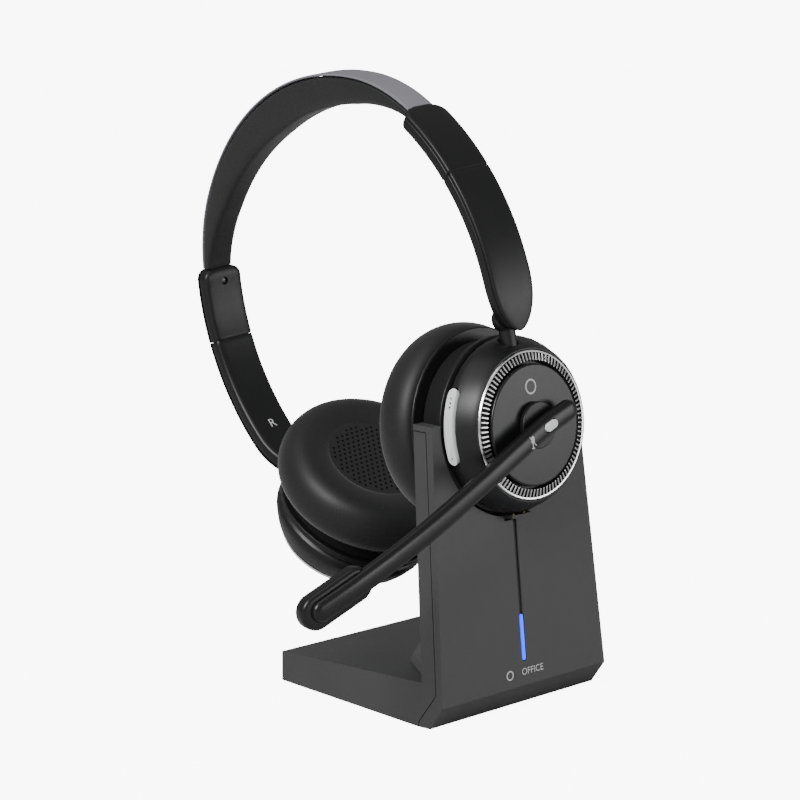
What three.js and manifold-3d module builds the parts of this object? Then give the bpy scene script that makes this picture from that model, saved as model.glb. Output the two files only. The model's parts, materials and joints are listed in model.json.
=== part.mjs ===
// Wireless on-ear headset with a boom microphone, standing on its charging stand.
// Millimetres, +Z up. The origin is the centre of the rubber pad under the foot;
// +Y runs from the leaning face plate to the back of the foot.
import * as THREE from 'three';
import { mergeVertices } from 'three/addons/utils/BufferGeometryUtils.js';
import Module from 'manifold-3d';

const wasm = await Module();
wasm.setup();

// ---------------------------------------------------------------- driving dimensions
const GAP = 0.3;                   // clearance kept between touching pieces

const LEAN = THREE.MathUtils.degToRad(6.45);   // face plate leans back
const FACE_Y = -41;                // lower edge of the face plate
const FACE_Z = 9.3;
const STAND_TOP = 101.4;
const STAND_HALF = 39.75;          // half width at the lower edge of the face
const STAND_TAPER = 0.05;          // loss of half width for each mm of height
const UPRIGHT_DEPTH = 8.9;         // horizontal thickness of the upright
const SHELL = 2.8;                 // face plate thickness
const FOOT_BACK = 41;
const FOOT_END_HEIGHT = 11.2;
const FOOT_ROOT_HEIGHT = 16;
const FOOT_FLOOR = 0.6;            // underside of the foot; the pad fills the rest
const CHAMFER_DEPTH = 5.9;
const CRADLE_RADIUS = 31.2;
const CUP_UP_FACE = 89.5;          // cup axis above the lower edge, along the face

const BAND_CENTRE = new THREE.Vector3(-2.4, 55.55, 151.7);
const BAND_TURN = new THREE.Euler(
  THREE.MathUtils.degToRad(-26.8), THREE.MathUtils.degToRad(-7.1), THREE.MathUtils.degToRad(-2.56), 'ZYX');
const CROWN_Z = 58.2;              // top of the band above its centre
const CROWN_RADIUS = 94.7;
const CROWN_END = 34;              // degrees from the crown where the arc changes
const SHOULDER_RADIUS = 63.8;
const SHOULDER_END = 57;
const SIDE_RADIUS = 85.5;          // the arms slide along this arc
const BAND_END = 59.3;             // where the padded band meets its slider housing
const HOUSING_START = 59.5;
const HOUSING_END = 78.6;
const ARM_START = 78.8;
const ARM_END = { left: 116, right: 120.2 };
const ARM_TIP = 12;                // the arm rounds off over its last degrees
const BAND_HALF = 5.6;             // half width of the padded band
const ARM_HALF = 8.7;
const ARM_DEPTH = 4.7;             // below the seam line
const PAD_CROWN = 13.6;              // padded band thickness at the crown
const PAD_END = 2.9;

const PIN_RADIUS = 2.8;
const PIN_OUT = { left: 6.5, right: 4.5 };  // pin axis, outwards along the cup axis
const PIN_FOOT = 25;               // pin ends, measured from the cup axis
const PIN_TOP = 36;
const RIGHT_TILT = 28.5;           // right cup, outer face turned down, degrees
const RIGHT_YAW = 7;
const TILT_AXIS_Y = 70.5;          // right tilt axis in the band's frame
const TILT_AXIS_Z = -60.3;
const LEFT_SWING = [-4, 9];        // pin swing in and out of its arm, degrees
const RIGHT_SWING = [-2, 16];

const CUP_SEGMENTS = 40;
const BOOM_HEIGHT = 7.2;
const BOOM_DEPTH = 4.4;
const MIC_LENGTH = 27;
const MIC_WIDTH = 11.4;

// ---------------------------------------------------------------- materials
function plastic(hex, roughness = 0.5) {
  return new THREE.MeshStandardMaterial({ color: hex, roughness, metalness: 0 });
}

function metal(hex, roughness = 0.35) {
  return new THREE.MeshStandardMaterial({ color: hex, roughness, metalness: 1 });
}

const STAND_GREY = plastic(0x2b2b2d, 0.55);
const STAND_DARK = plastic(0x1c1c1e, 0.6);
const SHELL_BLACK = plastic(0x161617, 0.4);
const NECK_BLACK = plastic(0x0b0b0c, 0.7);
const PAD_BLACK = plastic(0x191919, 0.75);
const CLOTH_BLACK = plastic(0x101010, 0.95);
const COVER_GREY = plastic(0x5d5c63, 0.45);
const RUBBER = plastic(0x121212, 0.9);
const LIGHT_BLUE = plastic(0x2fb4ff, 0.3);
const KEY_SILVER = plastic(0xcfd2d3, 0.35);
const RING_SILVER = metal(0xd8d8d8, 0.25);
const STEEL = metal(0x9a9ca0, 0.35);
const GOLD = metal(0xd2a64a, 0.3);
const BOARD_GREEN = plastic(0x174a2c, 0.5);

// ---------------------------------------------------------------- geometry helpers
function toSolid(geometry) {
  const bare = geometry.clone();
  bare.deleteAttribute('normal');
  bare.deleteAttribute('uv');
  const merged = mergeVertices(bare, 1e-4);
  return new wasm.Manifold(new wasm.Mesh({
    numProp: 3,
    vertProperties: new Float32Array(merged.attributes.position.array),
    triVerts: new Uint32Array(merged.index.array),
  }));
}

function toGeometry(solid) {
  const mesh = solid.getMesh();
  const geometry = new THREE.BufferGeometry();
  geometry.setAttribute('position', new THREE.BufferAttribute(mesh.vertProperties, 3));
  geometry.setIndex(new THREE.BufferAttribute(mesh.triVerts, 1));
  geometry.computeVertexNormals();
  return geometry;
}

function cut(geometry, ...tools) {
  let solid = toSolid(geometry);
  for (const tool of tools) solid = solid.subtract(toSolid(tool));
  return toGeometry(solid);
}

function join(geometry, ...others) {
  let solid = toSolid(geometry);
  for (const other of others) solid = solid.add(toSolid(other));
  return toGeometry(solid);
}

function block(x0, x1, y0, y1, z0, z1) {
  const geometry = new THREE.BoxGeometry(x1 - x0, y1 - y0, z1 - z0);
  return geometry.translate((x0 + x1) / 2, (y0 + y1) / 2, (z0 + z1) / 2);
}

// Turned piece: profile points are [radius, height], the axis is Z.
function turned(profile, segments = CUP_SEGMENTS) {
  const closed = profile[0][0] > 0 ? [...profile, profile[0]] : profile;
  const points = closed.map(([radius, height]) => new THREE.Vector2(radius, height));
  if (THREE.ShapeUtils.area(points) < 0) points.reverse();
  return new THREE.LatheGeometry(points, segments).rotateX(Math.PI / 2);
}

function drum(radius, z0, z1, segments = 24) {
  return turned([[0, z0], [radius, z0], [radius, z1], [0, z1]], segments);
}

// Side profile in the YZ plane, extruded along X from -half to +half.
function sideExtrusion(points, half) {
  const shape = new THREE.Shape(points.map(([y, z]) => new THREE.Vector2(y, z)));
  const geometry = new THREE.ExtrudeGeometry(shape, { depth: 2 * half, bevelEnabled: false });
  const toSide = new THREE.Matrix4().set(0, 0, 1, -half, 1, 0, 0, 0, 0, 1, 0, 0, 0, 0, 0, 1);
  return geometry.applyMatrix4(toSide);
}

// Skin over a row of equal outlines, closed with flat ends and faced outwards.
function loft(sections) {
  const count = sections[0].length;
  const points = sections.flat();
  const faces = [];
  for (let i = 0; i + 1 < sections.length; i += 1) {
    for (let j = 0; j < count; j += 1) {
      const a = i * count + j;
      const b = i * count + ((j + 1) % count);
      faces.push([a, b, b + count], [a, b + count, a + count]);
    }
  }
  const last = (sections.length - 1) * count;
  for (const [a, b, c] of THREE.ShapeUtils.triangulateShape(sections[0].flat2d, [])) {
    faces.push([a, c, b], [last + a, last + b, last + c]);
  }
  const cross = new THREE.Vector3();
  let volume = 0;
  for (const [a, b, c] of faces) volume += cross.crossVectors(points[a], points[b]).dot(points[c]);
  if (volume < 0) faces.forEach((face) => face.reverse());
  const geometry = new THREE.BufferGeometry().setFromPoints(points);
  geometry.setIndex(faces.flat());
  geometry.computeVertexNormals();
  return geometry;
}

function stadium(length, width, steps = 6) {
  const radius = width / 2;
  const reach = length / 2 - radius;
  const shape = new THREE.Shape();
  shape.moveTo(-reach, -radius);
  shape.lineTo(reach, -radius);
  for (let i = 1; i < steps; i += 1) {
    const angle = -Math.PI / 2 + (Math.PI * i) / steps;
    shape.lineTo(reach + radius * Math.cos(angle), radius * Math.sin(angle));
  }
  shape.lineTo(reach, radius);
  shape.lineTo(-reach, radius);
  for (let i = 1; i < steps; i += 1) {
    const angle = Math.PI / 2 + (Math.PI * i) / steps;
    shape.lineTo(-reach + radius * Math.cos(angle), radius * Math.sin(angle));
  }
  return shape;
}

function plate(shape, z0, z1) {
  const geometry = new THREE.ExtrudeGeometry(shape, { depth: z1 - z0, bevelEnabled: false });
  return geometry.translate(0, 0, z0);
}

const scene = new THREE.Group();

function place(parent, name, geometry, material) {
  const mesh = new THREE.Mesh(geometry, material);
  mesh.name = name;
  parent.add(mesh);
  return mesh;
}

// ---------------------------------------------------------------- charging stand
const SLOPE = Math.tan(LEAN);
const faceY = (z) => FACE_Y + (z - FACE_Z) * SLOPE;

// The face frame: X right, Y up along the face, Z out of the face, zero on the cup axis.
const faceFrame = new THREE.Group();
const CUP_HEIGHT = FACE_Z + CUP_UP_FACE * Math.cos(LEAN);
faceFrame.position.set(0, faceY(CUP_HEIGHT), CUP_HEIGHT);
faceFrame.rotation.set(Math.PI / 2 - LEAN, 0, 0);
faceFrame.updateMatrix();
scene.add(faceFrame);

// The upright narrows towards its top: every X shrinks with height.
function taper(geometry) {
  const position = geometry.attributes.position;
  for (let i = 0; i < position.count; i += 1) {
    const height = Math.max(position.getZ(i), FACE_Z) - FACE_Z;
    position.setX(i, position.getX(i) * (1 - (STAND_TAPER * height) / STAND_HALF));
  }
  return geometry;
}

function fromFace(geometry) {
  return geometry.applyMatrix4(faceFrame.matrix);
}

function cradle() {
  return fromFace(drum(CRADLE_RADIUS, -40, 20, 72));
}

function buildFrontShell() {
  const top = STAND_TOP;
  const seam = SHELL / Math.cos(LEAN);
  const profile = [
    [FACE_Y + CHAMFER_DEPTH, 1.0],
    [FACE_Y + 11.2, FOOT_FLOOR],
    [FACE_Y + 11.2, 2.4],
    [faceY(13) + seam, 13],
    [faceY(top - 2) + seam, top - 2],
    [faceY(top) + UPRIGHT_DEPTH, top - 2],
    [faceY(top) + UPRIGHT_DEPTH, top],
    [faceY(top), top],
    [FACE_Y, FACE_Z],
  ];
  const body = taper(sideExtrusion(profile, STAND_HALF));
  const groove = fromFace(block(-0.75, 0.75, -64.6, -30, -1.4, 1));
  const lightSlot = fromFace(plate(stadium(16.6, 2.2), -3.5, 1).rotateZ(Math.PI / 2).translate(0, -73, 0));
  const ledgeSlot = fromFace(block(-4.9, 4.9, -32.4, -29, -4, 1));
  return cut(body, cradle(), groove, lightSlot, ledgeSlot);
}

function buildRearShell() {
  const top = STAND_TOP - 2 - GAP;
  const seam = SHELL / Math.cos(LEAN) + GAP;
  const profile = [
    [FACE_Y + 11.2 + GAP, FOOT_FLOOR],
    [FOOT_BACK, FOOT_FLOOR],
    [FOOT_BACK, FOOT_END_HEIGHT],
    [FACE_Y + 10.35, FOOT_ROOT_HEIGHT],
    [faceY(top) + UPRIGHT_DEPTH - 0.05, top],
    [faceY(top) + seam, top],
    [faceY(13) + seam, 13],
    [FACE_Y + 11.2 + GAP, 2.4],
  ];
  const body = taper(sideExtrusion(profile, STAND_HALF));
  const boardBay = fromFace(block(-29, 29, -78, -36, -6.6, -2));
  const footBay = block(-34, 34, -23, 36, -1, 8.4);
  const inletBay = block(-4.9, 4.9, 35, 44, 4.2, 8.0);
  const screwHoles = baseScrewSpots().map(([x, y]) => screwHole(x, y));
  return cut(body, cradle(), boardBay, footBay, inletBay, ...screwHoles);
}

function baseScrewSpots() {
  return [[-36.8, 30], [36.8, 30], [-36.8, -20], [36.8, -20]];
}

function screwHole(x, y) {
  return drum(1.6, -1, 6.3, 16).translate(x, y, 0);
}

// A ramp between the upright and the foot stiffens the corner; its ends slope too.
function buildGusset() {
  const low = (y) => FOOT_ROOT_HEIGHT - ((y - FACE_Y - 10.35) * (FOOT_ROOT_HEIGHT - FOOT_END_HEIGHT))
    / (FOOT_BACK - FACE_Y - 10.35) + GAP;
  const back = FACE_Y + 35.4;
  const root = FACE_Y + 10.35;
  const rootGap = root + GAP + 0.05;
  const tall = 45;
  const tallY = root + (tall - FOOT_ROOT_HEIGHT) * SLOPE + GAP;
  const corners = [
    [-37.6, rootGap, low(root)], [37.6, rootGap, low(root)],
    [21.7, back, low(back)], [-21.7, back, low(back)],
    [-21.4, tallY, tall], [21.4, tallY, tall],
  ].map(([x, y, z]) => new THREE.Vector3(x, y, z));
  const faces = [[0, 2, 1], [0, 3, 2], [0, 1, 5], [0, 5, 4], [3, 4, 5], [3, 5, 2], [0, 4, 3], [1, 2, 5]];
  const geometry = new THREE.BufferGeometry().setFromPoints(corners);
  geometry.setIndex(faces.flat());
  geometry.computeVertexNormals();
  return geometry;
}

function buildStand() {
  place(scene, 'stand_front_shell', buildFrontShell(), STAND_GREY);
  place(scene, 'stand_rear_shell', buildRearShell(), STAND_GREY);
  place(scene, 'stand_gusset', buildGusset(), STAND_GREY);
  place(scene, 'stand_base_plate', block(-33.7, 33.7, -22.7, 35.7, 0.6, 1.8), STAND_DARK);
  place(scene, 'anti_slip_pad', block(-31, 31, -21, 34, 0, 0.3), RUBBER);
  place(scene, 'ballast_slab', block(-31, 31, -20, 33, 2.1, 8.1), STEEL);
  const inletWall = plate(stadium(9.0, 3.2), 0, 7.3);
  const inletHole = plate(stadium(8.2, 2.4), 1, 9);
  const inlet = cut(inletWall, inletHole).rotateX(-Math.PI / 2).translate(0, 33.4 + GAP, 6.1);
  place(scene, 'usb_c_inlet', inlet, STEEL);
  baseScrewSpots().forEach(([x, y], index) => {
    place(scene, `base_screw_${index + 1}`, drum(1.3, 0.7, 6, 12).translate(x, y, 0), STEEL);
  });

  place(faceFrame, 'charging_board', block(-24, 24, -76, -38, -5.6, -4.2), BOARD_GREEN);
  const light = plate(stadium(15.9, 1.5), -2.6, -0.05).rotateZ(Math.PI / 2).translate(0, -73, 0);
  place(faceFrame, 'status_light_pipe', light, LIGHT_BLUE);
  place(faceFrame, 'face_groove_insert', block(-0.45, 0.45, -64.3, -33.2, -1.1, -0.5), STAND_DARK);
  place(faceFrame, 'charging_ledge', buildLedge(), STAND_GREY);
  CHARGING_PINS.forEach((x, index) => {
    place(faceFrame, `charging_pin_${index + 1}`, chargingPin(x, 0.75, -31.4, -30.1), GOLD);
  });
}

const CHARGING_PINS = [-2.6, 2.6];

function chargingPin(x, radius, low, high) {
  return drum(radius, low, high, 16).rotateX(-Math.PI / 2).translate(x, 0, 1.6);
}

// The ledge follows the round of the cup above it.
function buildLedge() {
  const ring = turned([[30.5, -2.4], [31.8, -2.4], [31.8, 3.6], [30.5, 3.6]], 144);
  const keep = toSolid(block(-4.6, 4.6, -34, -28, -5, 6));
  const ledge = toGeometry(toSolid(ring).intersect(keep));
  return cut(ledge, ...CHARGING_PINS.map((x) => chargingPin(x, 1.05, -35, -28)));
}

// ---------------------------------------------------------------- headband and arms
const headset = new THREE.Group();
headset.position.copy(BAND_CENTRE);
headset.rotation.copy(BAND_TURN);
headset.updateMatrix();
scene.add(headset);

const radians = THREE.MathUtils.degToRad;

// The seam line is three arcs in the YZ plane, met tangent to tangent. The angle is the
// outward normal's lean from straight up, positive towards the right cup.
function seamPoint(angle) {
  const side = Math.sign(angle) || 1;
  const turn = Math.abs(angle);
  let y = 0;
  let z = CROWN_Z - CROWN_RADIUS;
  let radius = CROWN_RADIUS;
  const arcs = [[CROWN_END, SHOULDER_RADIUS], [SHOULDER_END, SIDE_RADIUS]];
  for (const [end, next] of arcs) {
    if (turn > end) {
      y += (radius - next) * Math.sin(radians(end));
      z += (radius - next) * Math.cos(radians(end));
      radius = next;
    }
  }
  const normal = new THREE.Vector3(0, side * Math.sin(radians(turn)), Math.cos(radians(turn)));
  const point = new THREE.Vector3(0, side * y, z).addScaledVector(normal, radius);
  return { point, normal };
}

// Outline points are [x, height above the seam line].
function bandSection(angle, outline) {
  const { point, normal } = seamPoint(angle);
  const section = outline.map(([x, rise]) => point.clone().addScaledVector(normal, rise).setX(x));
  section.flat2d = outline.map(([x, rise]) => new THREE.Vector2(x, rise));
  return section;
}

// A crowding above 1 sets the sections closer together near the start.
function bandSweep(from, to, steps, outlineAt, crowding = 1) {
  const sections = [];
  for (let i = 0; i <= steps; i += 1) {
    const angle = from + (to - from) * (i / steps) ** crowding;
    sections.push(bandSection(angle, outlineAt(angle)));
  }
  return loft(sections);
}

// The housing widens over a round corner, and the arm rounds off to its tip.
function halfWidth(angle) {
  const turn = Math.abs(angle);
  if (turn < HOUSING_START) return BAND_HALF;
  const corner = ARM_HALF - BAND_HALF;
  const start = radians(turn - HOUSING_START) * SIDE_RADIUS;
  if (start < corner) return BAND_HALF + Math.sqrt(corner ** 2 - (corner - start) ** 2);
  const end = angle < 0 ? ARM_END.left : ARM_END.right;
  const along = (turn - end + ARM_TIP) / ARM_TIP;
  return along <= 0 ? ARM_HALF : Math.max(ARM_HALF * Math.sqrt(Math.max(1 - along * along, 0)), 1.4);
}

function padThickness(angle) {
  const share = (Math.abs(angle) / BAND_END) ** 1.55;
  return PAD_END + (PAD_CROWN - PAD_END) * (1 - Math.min(share, 1));
}

function coverOutline(angle) {
  const b = halfWidth(angle);
  return [[-b, 0], [b, 0], [b, 0.5], [b - 0.8, 1.0], [-b + 0.8, 1.0], [-b, 0.5]];
}

function cushionOutline(angle) {
  const b = halfWidth(angle);
  const t = padThickness(angle);
  const round = Math.min(1.6, (t - 1.2) / 2);
  return [
    [-b + round, -t], [b - round, -t], [b, -t + round], [b, -0.3],
    [4.4, -0.3], [4.4, -1.45], [-4.4, -1.45], [-4.4, -0.3], [-b, -0.3], [-b, -t + round],
  ];
}

function outerShellOutline(angle) {
  const b = halfWidth(angle);
  return [[-b, 0], [b, 0], [b, 0.5], [b * 0.72, 1.35], [-b * 0.72, 1.35], [-b, 0.5]];
}

function innerShellOutline(angle) {
  const b = halfWidth(angle);
  const channel = 4.2;
  return [
    [-b * 0.78, -ARM_DEPTH], [b * 0.78, -ARM_DEPTH], [b * 0.96, -ARM_DEPTH + 1.1], [b, -GAP],
    [channel, -GAP], [channel, -2.5], [-channel, -2.5], [-channel, -GAP],
    [-b, -GAP], [-b * 0.96, -ARM_DEPTH + 1.1],
  ];
}

function stripOutline(half, top, bottom) {
  return [[-half, bottom], [half, bottom], [half, top], [-half, top]];
}

// Moves a shape drawn round the tilt centre, Y up the pin and Z outwards, into the band's frame.
function atTilt(side, geometry, swing) {
  const frame = side < 0 ? leftCup : rightCup;
  const out = side < 0 ? PIN_OUT.left : PIN_OUT.right;
  geometry.rotateX(-radians(swing)).translate(0, PIN_TOP, out).applyMatrix4(frame.matrix);
  if (side < 0) geometry.applyMatrix4(headset.matrix.clone().invert());
  return geometry;
}

function ball(radius) {
  return new THREE.SphereGeometry(radius, 24, 12).rotateX(Math.PI / 2);
}

// The pin's ball head turns in this hollow, and its stem swings through the mouth.
function tiltHollow(side) {
  const hollow = [atTilt(side, ball(PIN_RADIUS + GAP), 0)];
  const [inwards, outwards] = side < 0 ? LEFT_SWING : RIGHT_SWING;
  for (let i = 0; i <= 4; i += 1) {
    const stem = drum(PIN_RADIUS + GAP, -14, 0, 24).rotateX(-Math.PI / 2);
    hollow.push(atTilt(side, stem, inwards + ((outwards - inwards) * i) / 4));
  }
  return hollow;
}

function buildArm(side, label) {
  const end = side * ARM_END[label];
  const outer = bandSweep(side * ARM_START, end, 16, outerShellOutline, 0.75);
  place(headset, `${label}_arm_outer_cover`, outer, SHELL_BLACK);
  const inner = bandSweep(side * ARM_START, end, 16, armInnerOutline, 0.75);
  const boss = atTilt(side, ball(4.7), 0);
  const coverEnvelope = bandSweep(side * ARM_START, end + side * 4, 8, clearAbove);
  const socketed = cut(join(inner, boss), coverEnvelope, ...tiltHollow(side));
  place(headset, `${label}_arm_inner_cover`, socketed, SHELL_BLACK);
  const strip = bandSweep(side * 64, side * 90, 10, () => stripOutline(3.6, -1.5, -2.2));
  place(headset, `${label}_slide_strip`, strip, STEEL);
}

function clearAbove() {
  return [[-14, -GAP], [14, -GAP], [14, 9], [-14, 9]];
}

function armInnerOutline(angle) {
  const b = halfWidth(angle);
  const turn = Math.abs(angle);
  const channel = turn < 93 ? 4.2 : Math.min(2.5, b * 0.3);
  const depth = turn < 93 ? -2.5 : -0.8;
  return [
    [-b * 0.78, -ARM_DEPTH], [b * 0.78, -ARM_DEPTH], [b * 0.96, -ARM_DEPTH + 1.1], [b, -GAP],
    [channel, -GAP], [channel, depth], [-channel, depth], [-channel, -GAP],
    [-b, -GAP], [-b * 0.96, -ARM_DEPTH + 1.1],
  ];
}

function buildSliderHousing(side, label) {
  const outer = bandSweep(side * HOUSING_START, side * HOUSING_END, 10, outerShellOutline, 1.7);
  place(headset, `${label}_slider_outer_shell`, outer, SHELL_BLACK);
  const inner = bandSweep(side * HOUSING_START, side * HOUSING_END, 10, innerShellOutline, 1.7);
  const { point, normal } = seamPoint(side * 63);
  const spot = point.clone().addScaledVector(normal, -ARM_DEPTH - 0.4);
  const toNormal = new THREE.Quaternion().setFromUnitVectors(new THREE.Vector3(0, 0, 1), normal);
  const seat = new THREE.Matrix4().compose(spot, toNormal, new THREE.Vector3(1, 1, 1));
  const hole = drum(1.5, -1, 1.8, 16).applyMatrix4(seat);
  place(headset, `${label}_slider_inner_shell`, cut(inner, hole), SHELL_BLACK);
  place(headset, `${label}_slider_screw`, drum(1.15, 0.75, 1.45, 14).applyMatrix4(seat), STEEL);
}

function buildHeadband() {
  place(headset, 'headband_cover', bandSweep(-BAND_END, BAND_END, 28, coverOutline), COVER_GREY);
  place(headset, 'headband_cushion', bandSweep(-BAND_END, BAND_END, 28, cushionOutline), PAD_BLACK);
  place(headset, 'headband_spring', bandSweep(-67, 67, 28, () => stripOutline(3.6, -0.5, -1.0)), STEEL);
  for (const [side, label] of [[-1, 'left'], [1, 'right']]) {
    buildSliderHousing(side, label);
    buildArm(side, label);
  }
}

// ---------------------------------------------------------------- ear cups
// A cup's frame: Z outwards along the cup axis, Y up to the pin, X across.
function cupMatrix(position, outward, across) {
  const up = new THREE.Vector3().crossVectors(outward, across).normalize();
  const right = new THREE.Vector3().crossVectors(up, outward);
  return new THREE.Matrix4().makeBasis(right, up, outward).setPosition(position);
}

function groupFromMatrix(parent, matrix) {
  const group = new THREE.Group();
  group.applyMatrix4(matrix);
  group.updateMatrix();
  parent.add(group);
  return group;
}

const tiltAxis = new THREE.Vector3(1, 0, 0).transformDirection(headset.matrix);
const faceNormal = new THREE.Vector3(0, 0, 1).transformDirection(faceFrame.matrix);
const leftCup = groupFromMatrix(scene, cupMatrix(faceFrame.position, faceNormal, tiltAxis));

function rightCupMatrix() {
  const tilt = radians(RIGHT_TILT);
  const yaw = radians(RIGHT_YAW);
  const outward = new THREE.Vector3(
    -Math.sin(yaw) * Math.cos(tilt), Math.cos(yaw) * Math.cos(tilt), -Math.sin(tilt));
  const matrix = cupMatrix(new THREE.Vector3(), outward, new THREE.Vector3(-1, 0, 0));
  const pinTop = new THREE.Vector3(0, PIN_TOP, PIN_OUT.right).applyMatrix4(matrix);
  return matrix.setPosition(-pinTop.x, TILT_AXIS_Y - pinTop.y, TILT_AXIS_Z - pinTop.z);
}

const rightCup = groupFromMatrix(headset, rightCupMatrix());

function cushionProfile() {
  return [
    [20, -13.2], [33.2, -13.2], [34.6, -17], [34.6, -23], [33.2, -27.6],
    [30.2, -30.6], [26.5, -31.5], [22.6, -30.6], [20, -28],
  ];
}

function housingProfile() {
  return [
    [26.4, -0.5], [28.5, -0.5], [29.6, 0.6], [30, 2], [29.7, 3.8], [28.8, 6], [27.6, 8.4],
    [26.6, 10.2], [25.7, 11.2], [25.35, 11.2], [25.35, 10], [4.2, 10], [4.2, 8.4], [24.8, 8.4],
    [26.6, 5.4], [27.6, 2], [27.2, 0.6],
  ];
}

function pinSocket(out) {
  return turned([[0, 24], [PIN_RADIUS + GAP, 24], [PIN_RADIUS + GAP, 27], [4.2, 31], [0, 31]], 24)
    .rotateX(-Math.PI / 2).translate(0, 0, out);
}

// A long rounded pad wrapped round the cup, centred on the angle given.
function wrappedPad(length, width, inner, outer, centreOut, centreAngle) {
  const steps = 14;
  const reach = (length - width) / 2;
  const shape = new THREE.Shape();
  shape.moveTo(-reach, -width / 2);
  for (let i = 1; i <= steps; i += 1) shape.lineTo(-reach + (2 * reach * i) / steps, -width / 2);
  for (let i = 1; i < 6; i += 1) {
    const angle = -Math.PI / 2 + (Math.PI * i) / 6;
    shape.lineTo(reach + (width / 2) * Math.cos(angle), (width / 2) * Math.sin(angle));
  }
  for (let i = 0; i <= steps; i += 1) shape.lineTo(reach - (2 * reach * i) / steps, width / 2);
  for (let i = 1; i < 6; i += 1) {
    const angle = Math.PI / 2 + (Math.PI * i) / 6;
    shape.lineTo(-reach + (width / 2) * Math.cos(angle), (width / 2) * Math.sin(angle));
  }
  const geometry = plate(shape, inner, outer);
  const position = geometry.attributes.position;
  const middle = (inner + outer) / 2;
  for (let i = 0; i < position.count; i += 1) {
    const angle = centreAngle + position.getX(i) / middle;
    const radius = position.getZ(i);
    const out = centreOut + position.getY(i);
    position.setXYZ(i, radius * Math.cos(angle), radius * Math.sin(angle), out);
  }
  return geometry;
}

function buildCup(cup, label) {
  const cushion = turned(cushionProfile());
  place(cup, `${label}_ear_cushion`, cushion, PAD_BLACK);
  const cloth = turned([[0, -26.6], [19.7, -26.6], [19.7, -28], [16, -28.9], [0, -29.3]], 40);
  place(cup, `${label}_cushion_centre`, cloth, CLOTH_BLACK);
  const platePro = [[19, -12.9], [32.4, -12.9], [32.95, -12.5], [32.95, -12.1], [32.5, -11.7], [19, -11.7]];
  place(cup, `${label}_cushion_plate`, turned(platePro), SHELL_BLACK);
  const driver = turned([[0, -14], [18.4, -14], [18.4, -17.5], [12, -22], [0, -22]], 32);
  place(cup, `${label}_speaker_driver`, driver, STEEL);
  const neck = [[25.6, -11.4], [28.4, -11.4], [28.4, -3.8], [25.6, -3.8]];
  place(cup, `${label}_cup_neck`, turned(neck), NECK_BLACK);
  const flange = [[24, -3.5], [30.2, -3.5], [30.2, -1.5], [28.6, -0.8], [24, -0.8]];
  place(cup, `${label}_cup_flange`, turned(flange), SHELL_BLACK);
  const ring = [
    [21.2, 10.3], [24.9, 10.3], [25.05, 10.7], [25.05, 11.5],
    [24.7, 11.8], [24.2, 11.7], [21.5, 12.4], [21.2, 12.2],
  ];
  place(cup, `${label}_trim_ring`, turned(ring), RING_SILVER);
}

const ROCKER_ANGLE = radians(168);
const ROCKER_WIDTH = 3.9;

function buildLeftCup() {
  buildCup(leftCup, 'left');
  const pocket = wrappedPad(26.2, ROCKER_WIDTH + 0.7, 26, 32, 2.5, ROCKER_ANGLE);
  const housing = cut(turned(housingProfile()), pinSocket(PIN_OUT.left), pocket);
  place(leftCup, 'left_cup_housing', housing, SHELL_BLACK);
  const rocker = wrappedPad(25.4, ROCKER_WIDTH, 28.3, 30.4, 2.5, ROCKER_ANGLE);
  place(leftCup, 'volume_rocker', rocker, KEY_SILVER);
  const disc = [[4, 10.3], [20.2, 10.3], [20.5, 10.7], [20.5, 12.5], [20.1, 12.9], [4, 12.9]];
  place(leftCup, 'left_disc_cover', turned(disc), SHELL_BLACK);
  place(leftCup, 'left_circuit_board', drum(21.5, 2.6, 4.2, 32), BOARD_GREEN);
  buildBoom();
}

function buildRightCup() {
  buildCup(rightCup, 'right');
  const housing = housingProfile().filter(([radius]) => radius !== 4.2);
  const closed = [[0, 8.4], ...housing.slice(11), ...housing.slice(0, 11), [0, 10]];
  place(rightCup, 'right_cup_housing', cut(turned(closed), pinSocket(PIN_OUT.right)), SHELL_BLACK);
  const disc = [[0, 10.3], [20.2, 10.3], [20.5, 10.7], [20.5, 12.5], [20.1, 12.9], [0, 12.9]];
  place(rightCup, 'right_disc_cover', turned(disc), SHELL_BLACK);
  place(rightCup, 'battery_pack', block(-15, 15, -10, 10, -2, 3.5), STEEL);
}

function buildPins() {
  for (const [group, label] of [[leftCup, 'left'], [rightCup, 'right']]) {
    const out = PIN_OUT[label];
    const stem = drum(PIN_RADIUS, PIN_FOOT, PIN_TOP, 24).rotateX(-Math.PI / 2).translate(0, 0, out);
    const pin = join(stem, ball(PIN_RADIUS).translate(0, PIN_TOP, out));
    place(group, `${label}_pivot_pin`, pin, SHELL_BLACK);
  }
}

// ---------------------------------------------------------------- boom microphone
// Hand-set centre line in the face's own directions: across, up, out.
const BOOM_LINE = [
  [13.9, 4.8, 17.8], [7, 2.5, 17.8], [0, 0, 17.8], [-12, -5.6, 17.7], [-32, -15.6, 17.2],
  [-57, -28.1, 15.1], [-80, -38.9, 11.5], [-97.6, -47.2, 7],
];

function boomPath() {
  const points = BOOM_LINE.map(([x, y, z]) => new THREE.Vector3(x, y, z));
  return new THREE.CatmullRomCurve3(points, false, 'centripetal');
}

function roundedSection(height, depth) {
  const outline = [];
  const steps = 12;
  for (let i = 0; i < steps; i += 1) {
    const angle = (2 * Math.PI * (i + 0.5)) / steps;
    const across = Math.sign(Math.cos(angle)) * Math.abs(Math.cos(angle)) ** 0.6;
    const out = Math.sign(Math.sin(angle)) * Math.abs(Math.sin(angle)) ** 0.6;
    outline.push([(across * height) / 2, (out * depth) / 2]);
  }
  return outline;
}

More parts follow.
